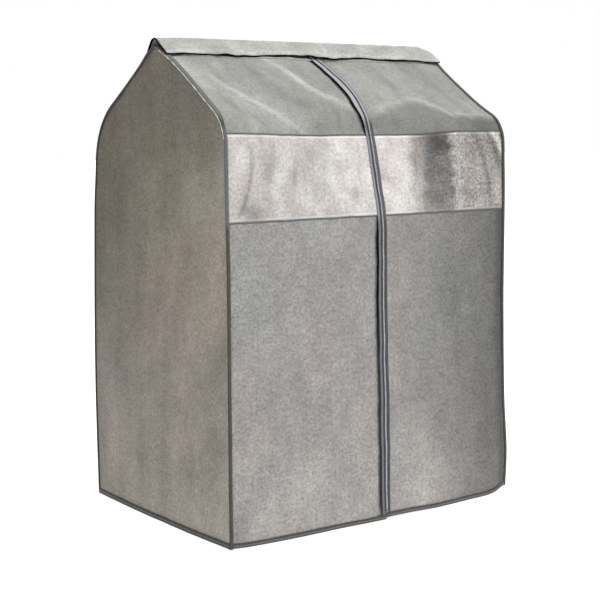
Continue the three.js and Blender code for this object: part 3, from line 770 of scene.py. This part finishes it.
# The two zip tapes are one tape: the right one is painted in shade, and both are painted lighter over the
# roof.
TAPE_LEFT = trim_material("zip_tape_left", FRONT_LIGHT, (104, 105, 112), (130, 131, 138),
                          roof=(198, 200, 201), film=(150, 150, 158))
TAPE_RIGHT_PAINTED_SHADE = trim_material("zip_tape_right", FRONT_LIGHT, (56, 57, 60), (80, 81, 84), (0.2, 5 * MM),
                           roof=(158, 160, 158), film=(92, 94, 98))
COIL_DARK = plain_material("zip_coil_dark", FRONT_LIGHT, (44, 48, 66), (66, 72, 92), 60.0, 0.5, by_cut=True)
COIL_LIGHT = plain_material("zip_coil_light", FRONT_LIGHT, (182, 188, 200), (220, 224, 232), 60.0, 0.45,
                            by_cut=True)
# A near-black strip that paints the shadow under the zip's left tape, fading to dark grey near the floor.
PAINTED_SHADOW_GAP = trim_material("zip_gap_painted_shadow", FRONT_LIGHT, (8, 8, 8), (26, 25, 24), foot=(62, 61, 56), gloss=0.0)
# The cap's black edging, without gloss, also paints the shadow line under the cap's front edge.
CAP_EDGE = trim_material("cap_edge", ROOF_LIGHT, (4, 4, 4), (14, 14, 14), gloss=0.0)
HOOKS = plain_material("hook_and_loop", OWN_COLOUR, (120, 121, 118), (150, 151, 148), 50.0, 0.9,
                       bump=0.6 * MM, by_cut=True)
METAL = plain_material("zip_metal", OWN_COLOUR, (92, 95, 98), (132, 135, 138), 40.0, 0.36, metallic=0.85)
TUBE = plain_material("powder_coat", OWN_COLOUR, (176, 178, 180), (198, 199, 200), 18.0, 0.42, metallic=0.3,
                      coat=0.1)
FITTING = plain_material("fitting_plastic", OWN_COLOUR, (186, 187, 184), (206, 206, 203), 22.0, 0.5)


# ---- Sewn panels

DOORS = {"left": "door_left", "right": "door_right"}
CAP_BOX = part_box("cap_front_flap")
CAP_TOP = CAP_BOX[1].z


def attach(piece, where, material_slot, *nodes):
    """Joins a piece to the body named by `where`; a piece for the front flap "left" or "right" or for the
    ridge "cap" only has its transform baked into its mesh. The given CAD nodes are hidden."""
    if where in DOORS:
        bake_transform(piece)
    elif where == "cap":
        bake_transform(piece)
    else:
        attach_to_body(piece, where)
    if nodes:
        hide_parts(*nodes)


def beside_zip(side, near):
    """Left and right edges of a front piece that stops `near` the zip's centre line."""
    if side == "left":
        return -PANEL_EDGE, lambda s: zip_x(s) - near
    return lambda s: zip_x(s) + near, PANEL_EDGE


def across_front(side, near, s, cell):
    """Even places along such a piece at s."""
    return steps(*(float(value_at(edge, s)) for edge in beside_zip(side, near)), cell)


def add_panel(name, span, edges, where, material_slot, node, material, light, seed=0.0):
    sheet = arch_sheet(name, *span, *edges, -CLOTH_INSET, CLOTH, material, groove=1.0, seed=seed, light=light)
    attach(sheet, where, material_slot, node)


def add_front():
    for side, seed in (("left", 0.0), ("right", 5.0)):
        edges = beside_zip(side, CLOTH_TO_ZIP)
        add_panel("roof_cloth_front_" + side, (SEAM + GAP, MIDDLE), edges, "root", "roof_cloth",
                  "roof_front_" + side, ROOF, roof_painted_light, seed)
        add_panel("window_film_" + side, (WINDOW_BOTTOM + GAP, SEAM), edges, side, "window_film",
                  "window_" + side, FILM, film_painted_light)
        add_panel("front_cloth_" + side, (HEM_SHOWN - 4 * MM, WINDOW_BOTTOM), edges, side, "body_cloth",
                  "front_panel_" + side, BODY, front_painted_light, seed)


def add_welts():
    """The welts of the seams above and below the window, whose dark colour paints the shadow line along each
    seam.
    """
    section = rounded_section(-1.6 * MM, 1.6 * MM, -0.6 * MM, 0.9 * MM, 0.7 * MM)
    for side in DOORS:
        for place, middle, where in (("top", SEAM + 2.2 * MM, "root"),
                                     ("bottom", WINDOW_BOTTOM - 2.2 * MM, side)):
            x = across_front(side, CLOTH_TO_ZIP, middle, FINE_BAR_CELL)
            s = middle + 0.5 * MM * ripples(x, x * 0, 27, 0.09)
            origins = on_arch(x, s, -CLOTH_INSET, 1.0)
            up = unit(on_arch(x, s + 4 * MM, -CLOTH_INSET, 1.0) - origins)
            welt = sweep("seam_welt_" + place + "_" + side, origins, up, stacked(0, -up[:, 2], up[:, 1]),
                         section, stacked(0, x, 0), SEAM_TAPE, flip=True)
            attach(welt, where, "body_cloth")


def back_light(x, s):
    return 1 + 0.04 * ripples(x, s, 24, 0.2)


def add_back():
    edges = (-PANEL_EDGE, PANEL_EDGE)
    add_panel("roof_cloth_back", (MIDDLE, BACK_SEAM - GAP), edges, "root", "roof_cloth", "roof_back", ROOF,
              back_light, 9.0)
    add_panel("back_cloth", (BACK_SEAM, TOTAL - HEM_HEIGHT - GAP), edges, "root", "body_cloth", "back_panel",
              BODY, back_light, 9.0)


def side_push(side, y, z):
    """Push of a gable end's cloth, outwards."""
    across = np.clip(1 - (y / HALF_DEPTH) ** 2, 0, 1)
    folds = ripples(y, z * 0.22, 21 + side, 0.16) * smooth(z, 0.0, 0.25)
    low = 3 * MM * across * bell(z, 0, 0.22)
    hollow = -8 * MM * across ** 1.5 * bell(z, 0.86, 0.33)
    return low + hollow + across * (2.2 * MM * folds + 0.5 * MM * ripples(y, z, 30 + side, 0.09))


def on_side(side, t, s):
    """Points on a gable end: s runs up its front edge and t from its front edge to its back edge."""
    edges = []
    for place in (s, TOTAL - s * BACK.end / FRONT.end):
        y, z, ny, nz = arch(place)
        push = edge_push(side, place) - BINDING_DEPTH * 0.8
        edges.append((y + ny * push, z + nz * push))
    (y0, z0), (y1, z1) = edges
    y, z = y0 + (y1 - y0) * t, z0 + (z1 - z0) * t
    x = side * (HALF_WIDTH - CLOTH_INSET + side_push(side, y, z))
    return stacked(x, y, z + hem_lift(side * HALF_WIDTH, y, z))


def add_sides():
    t, s = np.meshgrid(np.linspace(0, 1, int(2 * HALF_DEPTH / CELL)),
                       steps(HEM_HEIGHT * 0.6, MIDDLE - 4 * MM, CELL))
    for name, side in SIDES:
        points = on_side(side, t, s)
        y, z = points[..., 1], points[..., 2]
        cloth = make_object("side_cloth_" + name, points, quads(*t.shape)[:, ::side],
                            stacked(y, z, 2.0 + side), SIDE, side_painted_light(y, z))
        attach(solidify(cloth, CLOTH), "root", "side_cloth", "side_" + name)


# ---- Bindings and hems

def arch_frame(x, s):
    """Origins, across and outward axes of bars that follow the arch at x."""
    _, _, ny, nz = arch(s)
    return on_arch(x, s), np.array([1.0, 0.0, 0.0]), stacked(0, ny, nz)


def add_bindings():
    """Folded tape over the arch edges; on the left it is wider over the roof, where a seam lies under it."""
    foot, top = 0.4 * MM, MIDDLE - GAP / 2
    front, back = (foot, top), (TOTAL - top, TOTAL - foot)
    for corner, side, span, look in (
            ("front_left", -1, front, BINDING_LEFT), ("front_right", 1, front, BINDING_RIGHT),
            ("back_left", -1, back, BINDING), ("back_right", 1, back, BINDING)):
        s = steps(*span, BAR_CELL)
        wider = 5 * MM if side < 0 else 0
        width = BINDING_WIDTH + wider * smooth(np.where(s > MIDDLE, TOTAL - s, s), 1.0, 1.06)
        width = width * (1 + 0.05 * ripples(s, s * 0, 40 + side, 0.06))
        section = rounded_section(0, BINDING_WIDTH, -BINDING_DEPTH, 0, 2.0 * MM, 4)
        section = np.repeat(section[None], len(s), 0)
        section[..., 0] *= -side * width[:, None] / BINDING_WIDTH
        bar = sweep("binding_" + corner + "_tape", *arch_frame(side * HALF_WIDTH, s), section,
                    stacked(side * HALF_WIDTH, s, 0), look, flip=side > 0)
        attach(bar, "root", "binding_tape", "binding_" + corner)


def add_piping():
    """The raw edge of the gable's cloth shows as a pale line outside the binding, over the front's roof."""
    section = rounded_section(-1.0 * MM, 1.0 * MM, -1.1 * MM, 1.1 * MM, 0.9 * MM)
    s = steps(FRONT.wall + 0.02, MIDDLE - 0.03, FINE_BAR_CELL)
    for name, side in SIDES:
        origins, across, outward = arch_frame(side * HALF_WIDTH, s)
        origins = origins + across * side * 0.6 * MM - outward * 3.4 * MM
        swell = 1 + 0.3 * ripples(s, s * 0, 60 + side, 0.03)[:, None, None]
        line = sweep("raw_edge_" + name, origins, across, outward, section * swell, stacked(0, s, 0), PIPING)
        attach(line, "root", "side_cloth")


def add_hem(name, origins, outward, along, clear, depth, radius, where="root"):
    """A bound hem along the foot of a panel, `clear` of the floor."""
    section = rounded_section(clear, HEM_SHOWN, -depth, 0, radius)
    bar = sweep("hem_" + name + "_tape", origins, (0, 0, 1), outward, section, stacked(0, along, 0), HEM,
                flip=sum(outward) < 0)
    attach(bar, where, "binding_tape", "hem_" + name)


def add_hems():
    for side in DOORS:
        x = across_front(side, GAP / 2, HEM_HEIGHT / 2, BAR_CELL)
        add_hem("front_" + side, on_arch(x, 0), (0, -1, 0), x, 2 * MM, BINDING_DEPTH, 1.8 * MM, side)
    x = steps(-PANEL_EDGE, PANEL_EDGE, BAR_CELL)
    add_hem("back", on_arch(x, TOTAL), (0, 1, 0), x, 0.3 * MM, BINDING_DEPTH, 1.8 * MM)
    y = steps(-HALF_DEPTH + BINDING_DEPTH, HALF_DEPTH - BINDING_DEPTH, BAR_CELL)
    share = (y + HALF_DEPTH) / (2 * HALF_DEPTH)
    for name, side in SIDES:
        pushed_y = y - edge_push(side, 0) * (1 - share) ** 2 + edge_push(side, TOTAL) * share ** 2
        origins = stacked(side * (HALF_WIDTH + side_push(side, y, HEM_HEIGHT / 2)), pushed_y,
                          hem_lift(side * HALF_WIDTH, y, 0))
        add_hem(name, origins, (side, 0, 0), y, 0.3 * MM, 3.6 * MM, 1.5 * MM)


# ---- Zip

ZIP_TOP = MIDDLE - 16 * MM
TAPE_LIFT = -CLOTH_INSET + 1.6 * MM
COIL_HALF = 4.6 * MM  # width of one row of the coil
COIL_PITCH = 3 * MM
COIL_BEAD = (COIL_HALF / 2 + 0.5 * MM, 1.35 * MM, 1.4 * MM)  # half length, half width, half height
COIL_LEAN = 0.35  # radians
TAPE_REACH = {  # from the zip's centre line; the left tape is wider over the roof than on the front
    "left": lambda s: 11.5 * MM + 6.5 * MM * smooth(s, FRONT.roof - 0.03, FRONT.roof + 0.04),
    "right": 15.5 * MM}


def zip_strip(name, start, end, side, near, far, lift, thickness, material):
    """A strip from `near` to `far` of the zip's centre line, each a number or a function of s."""
    sign = dict(SIDES)[side]
    edges = [lambda s, reach=reach: zip_x(s) + sign * value_at(reach, s) for reach in (near, far)]
    return arch_sheet(name, start, end, *edges[::sign], lift, thickness, material, cell=3 * MM)


def add_zip():
    looks = {"left": (TAPE_LEFT, COIL_DARK), "right": (TAPE_RIGHT_PAINTED_SHADE, COIL_LIGHT)}
    for part, start, end, bare in (("roof", SEAM + GAP, ZIP_TOP, 0),
                                   ("door", HEM_SHOWN - 1 * MM, SEAM, 12 * MM)):
        for side, sign in SIDES:
            cloth, coil = looks[side]
            name, where = part + "_" + side, "root" if part == "roof" else side
            tape = zip_strip("zip_tape_" + name + "_cloth", start, end, side, GAP, TAPE_REACH[side],
                             TAPE_LIFT, 1.0 * MM, cloth)
            attach(tape, where, "zip_tape", "zip_tape_" + name)
            first = start + bare + (0.25 + 0.25 * sign) * COIL_PITCH
            s = np.arange(first, end - COIL_PITCH / 2, COIL_PITCH)
            teeth = beads("zip_coil_" + name + "_teeth", zip_x(s) + sign * COIL_HALF / 2, s, COIL_BEAD,
                          sign * COIL_LEAN, TAPE_LIFT + 0.8 * MM, coil)
            attach(teeth, where, "zip_coil", "zip_coil_" + name)


def add_zip_end():
    """The insertion pin and the retainer box beside it, at the zip's foot."""
    s = steps(HEM_SHOWN + 1 * MM, HEM_SHOWN + 11 * MM, 2 * MM)
    ease = 1 - 0.25 * np.abs(np.linspace(-1, 1, len(s))) ** 6
    for name, side, near, far in (("insertion_pin", "left", -3.0, -0.2), ("retainer_box", "right", 0.2, 6.0)):
        _, across, outward = arch_frame(0.0, s)
        half = (far - near) / 2 * MM
        section = rounded_section(-half, half, -0.5 * MM, 2.4 * MM, 0.8 * MM, 4) * ease[:, None, None]
        origins = on_arch(zip_x(s) + (near + far) / 2 * MM, s, TAPE_LIFT)
        fitting = sweep(name, origins, across, outward, section, stacked(0, s, 0), METAL)
        attach(fitting, side, "zip_metal", "zip_" + name)


def add_zip_gap():
    """Left of the zip, its tape stands off the panel's turned edge, and a near-black strip there paints the
    shadow in the gap, open over the roof and the lower panel and closed beside the film."""
    reach = TAPE_REACH["left"]
    for part, start, end, where in (("roof", SEAM + GAP, ZIP_TOP - 0.01, "root"),
                                    ("door", HEM_SHOWN - 1 * MM, WINDOW_BOTTOM - 2 * MM, "left")):

        def far(s):
            wander = 0.8 * MM * ripples(s, s * 0, 70, 0.05)
            open_share = smooth(s, start - 0.02, start + 0.04) * (1 - 0.6 * smooth(s, end - 0.05, end))
            return reach(s) + (6.5 * MM + wander) * open_share

        gap = zip_strip("zip_gap_painted_shadow_" + part, start, end, "left", lambda s: reach(s) - 2 * MM, far,
                        -CLOTH_INSET + 0.7 * MM, 0.4 * MM, PAINTED_SHADOW_GAP)
        attach(gap, where, "zip_tape")


# ---- Ridge cap

CAP_HALF_LENGTH = CAP_BOX[1].x
CAP_RADIUS = 22 * MM
CAP_SLOPE = math.radians(38)
CAP_BACK_SLOPE = math.radians(55.5)
HOOKS_HALF_LENGTH = 400 * MM
TAPE_THICKNESS = 1.5 * MM  # of the hook and loop tapes


def cap_length(reach, slope):
    """Length of cloth from the cap's middle to the edge that reaches that far from it."""
    return CAP_RADIUS * slope + (reach - CAP_RADIUS * math.sin(slope)) / math.cos(slope)


CAP_LENGTH = cap_length(-CAP_BOX[0].y, CAP_SLOPE)
CAP_BACK_LENGTH = cap_length(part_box("cap_back_strip")[1].y, CAP_BACK_SLOPE)
CAP_HANG = [  # x and how much further than its cut the front edge hangs there, in mm: it dips beyond the zip
    (-0.45, 2), (-0.41, 0), (-0.3, 0), (-0.2, -2.5), (-0.1, -5), (-0.02, -6.5), (0.03, -3), (0.06, 1),
    (0.12, -2), (0.18, -4), (0.25, -3), (0.3, -1), (0.36, 0), (0.45, 9)]


def cap_face(s):
    """y, z and normal of the cap's outer face; s = 0 along its top and s < 0 in front."""
    side, slope = np.sign(s), np.where(s < 0, CAP_SLOPE, CAP_BACK_SLOPE)
    turn = np.minimum(np.abs(s) / CAP_RADIUS, slope)
    along = np.maximum(np.abs(s) - CAP_RADIUS * slope, 0)
    ny, nz = side * np.sin(turn), np.cos(turn)
    y = CAP_RADIUS * ny + side * along * np.cos(slope)
    z = CAP_TOP - CAP_RADIUS + CAP_RADIUS * nz - along * np.sin(slope)
    return y, z, ny, nz


def on_cap(x, s, lift=0.0):
    """The cap hangs in slow waves along its front edge, which curls in, and droops at its right end."""
    free = smooth(-s, CAP_RADIUS * CAP_SLOPE, CAP_LENGTH)
    y, z, ny, nz = cap_face(s - free * MM * (curve(x, CAP_HANG)[..., 0] + 1.2 * ripples(x, s * 0, 53, 0.05)))
    wave = 1.6 * MM * ripples(x, s, 51, 0.16) * free + 0.5 * MM * ripples(x, s, 52, 0.05)
    welt = 1.1 * MM * bell(s + CAP_LENGTH, 8 * MM, 3 * MM)
    droop = -2 * MM * smooth(x, 0.3, 0.45) * free
    curl = -5 * MM * smooth(-s, CAP_LENGTH - 14 * MM, CAP_LENGTH) * (1 - smooth(np.abs(x), 0.31, 0.4))
    corner = -10 * MM * bell(s, 0, 30 * MM) * smooth(x, 0.41, 0.45)
    push = wave + droop + welt + curl + corner + lift
    return stacked(x, y + ny * push, z + nz * push - 3 * MM * smooth(-x, 0.35, 0.45))


# Painted light on the cap: lighter all over for the way it faces the light, painted light and shade along its
# creases, and a painted highlight along the fold above its front edge.
def cap_painted_light(x, s):
    creases = ripples(x * 0.5 + s * 0.6, s, 28, 0.035) * 0.6 + ripples(x, s * 2, 25, 0.13)
    return 1.33 + 0.08 * creases + 0.3 * bell(s + CAP_LENGTH, 7 * MM, 4 * MM)


def cap_sheet(name, x, s, lift, cut_start, thickness, material, light=None):
    x, s = np.meshgrid(x, s)
    sheet = make_object(name, on_cap(x, s, lift), quads(*x.shape), stacked(x, cut_start + s, 0), material,
                        light(x, s) if light else None)
    return solidify(sheet, thickness)


def add_cap():
    cap = cap_sheet("ridge_cap", np.linspace(-CAP_HALF_LENGTH, CAP_HALF_LENGTH, 130),
                    steps(-CAP_LENGTH, CAP_BACK_LENGTH, 4 * MM), 0.0, 2.0, 1.6 * MM, ROOF, cap_painted_light)
    attach(cap, "cap", "roof_cloth", "cap_front_flap", "cap_back_strip")


def add_closure():
    """The cap's hook tape and the roof's loop tapes lie on the cloth that they are sewn to."""
    hook = cap_sheet("flap_hook_tape", steps(-HOOKS_HALF_LENGTH, HOOKS_HALF_LENGTH, CELL),
                     steps(-CAP_LENGTH + 3 * MM, -CAP_LENGTH + 16 * MM, 3 * MM), -1.9 * MM, 0.0,
                     TAPE_THICKNESS, HOOKS)
    attach(hook, "cap", "hook_and_loop", "flap_hook_strip")
    for side, left, right in (("left", -HOOKS_HALF_LENGTH, 0.0), ("right", 44 * MM, HOOKS_HALF_LENGTH)):
        loop = arch_sheet("loop_tape_" + side, MIDDLE - 60 * MM, MIDDLE - 48 * MM, left, right, TAPE_LIFT,
                          TAPE_THICKNESS, HOOKS)
        attach(loop, "root", "hook_and_loop", "loop_strip_" + side)


def add_cap_edge():
    """A narrow black edging along the cap's front edge, up over its left end and down its back strip; kept
    black without gloss, along the front it also paints the shadow line under the cap's edge.
    """
    front_x = steps(CAP_HALF_LENGTH - 2 * MM, -CAP_HALF_LENGTH, FINE_BAR_CELL)
    end_s = steps(-CAP_LENGTH + 4 * MM, CAP_BACK_LENGTH - 1 * MM, 3 * MM)
    x = np.concatenate([front_x, np.full(len(end_s), -CAP_HALF_LENGTH)])
    s = np.concatenate([np.full(len(front_x), -CAP_LENGTH), end_s])
    origins = on_cap(x, s, -1.5 * MM)
    outward = unit(on_cap(x, s, 1.0 * MM) - origins)
    across = np.cross(outward, unit(np.gradient(origins, axis=0)))
    section = rounded_section(-3.4 * MM, 2.4 * MM, -1.8 * MM, 1.3 * MM, 1.3 * MM)
    edge = sweep("cap_edge", origins, across, outward, section, stacked(0, x + s, 0), CAP_EDGE)
    attach(edge, "cap", "binding_tape")


# ---- CAD pieces that stay: the frame and the zip's slider get better materials and eased edges

def finish_cad_nodes():
    looks = {"steel_tube": TUBE, "fitting_plastic": FITTING, "zip_metal": METAL}
    for part in frame["record"]["subparts"]:
        node = frame["nodes"][part["node"]]
        material = looks.get(part["material_slot"])
        if material is None or node.hide_render:
            continue
        node.data.materials.clear()
        node.data.materials.append(material)
        bevel = node.modifiers.new("eased", "BEVEL")
        bevel.width = 0.25 * MM
        bevel.segments = 2
        bevel.limit_method = "ANGLE"
        bevel.angle_limit = math.radians(40)


def declare_cloth():
    """Does nothing: no sheet is given its cut size here."""


# ---- Floor, light and camera

FLOOR_HALF = 30.0
FLOOR_GLOW = 0.8  # keeps the floor as pale as the photograph's ground
SKY_STRENGTH = 1.0
SUN_STRENGTH = 2.6
TOWARDS_SUN = Vector((0.42, -0.62, 0.85))
LENS, SENSOR = 83.51, 36.0  # mm
SHIFT_UP = -0.0917
CAMERA_PLACE = Vector((-2.2347, -2.9989, 1.0119))
AZIMUTH, PITCH, ROLL = math.radians(36.675), math.radians(5.076), math.radians(-0.189)


def add_object(name, data):
    made = bpy.data.objects.new(name, data)
    bpy.context.scene.collection.objects.link(made)
    return made


def add_floor():
    size = FLOOR_HALF
    floor = make_object("floor", [(-size, -size, 0), (size, -size, 0), (size, size, 0), (-size, size, 0)],
                        [(0, 1, 2, 3)])
    m = Shader("floor", roughness=0.9, specular=0.1)
    m.shader.inputs["Emission Color"].default_value = grey_scale(1.0)
    m.shader.inputs["Emission Strength"].default_value = FLOOR_GLOW
    tint = m.noise(m.object_place(), 0.6, 2.0)
    floor.data.materials.append(m.finish(m.ramp(tint, (0.3, grey_scale(0.48)), (0.7, grey_scale(0.5)))))


def add_light():
    scene = bpy.context.scene
    scene.view_settings.view_transform = "Standard"
    scene.world = bpy.data.worlds.new("studio")
    scene.world.use_nodes = True
    sky = scene.world.node_tree.nodes["Background"].inputs
    sky[0].default_value = grey_scale(1.0)
    sky[1].default_value = SKY_STRENGTH
    sun = bpy.data.lights.new("key", "SUN")
    sun.energy = SUN_STRENGTH
    sun.angle = math.radians(12)
    sun.color = (1.0, 0.99, 0.975)
    add_object("key", sun).rotation_euler = TOWARDS_SUN.to_track_quat("Z", "Y").to_euler()


def add_camera():
    """A long lens from the front left, just above the eaves, looking slightly down."""
    data = bpy.data.cameras.new("camera")
    data.sensor_width, data.lens, data.shift_y = SENSOR, LENS, SHIFT_UP
    camera = add_object("camera", data)
    level = math.cos(PITCH)
    forward = Vector((math.sin(AZIMUTH) * level, math.cos(AZIMUTH) * level, -math.sin(PITCH)))
    right = forward.cross(Vector((0, 0, 1))).normalized()
    up = right.cross(forward)
    tilted_right = right * math.cos(ROLL) + up * math.sin(ROLL)
    tilted_up = up * math.cos(ROLL) - right * math.sin(ROLL)
    turn = Matrix((tilted_right, tilted_up, -forward)).transposed()
    camera.matrix_world = Matrix.Translation(CAMERA_PLACE) @ turn.to_4x4()
    bpy.context.scene.camera = camera


for step in (add_front, add_welts, add_back, add_sides, add_bindings, add_piping, add_hems, add_zip,
             add_zip_end, add_zip_gap, add_cap, add_closure, add_cap_edge, finish_cad_nodes, declare_cloth,
             add_floor, add_light, add_camera):
    step()
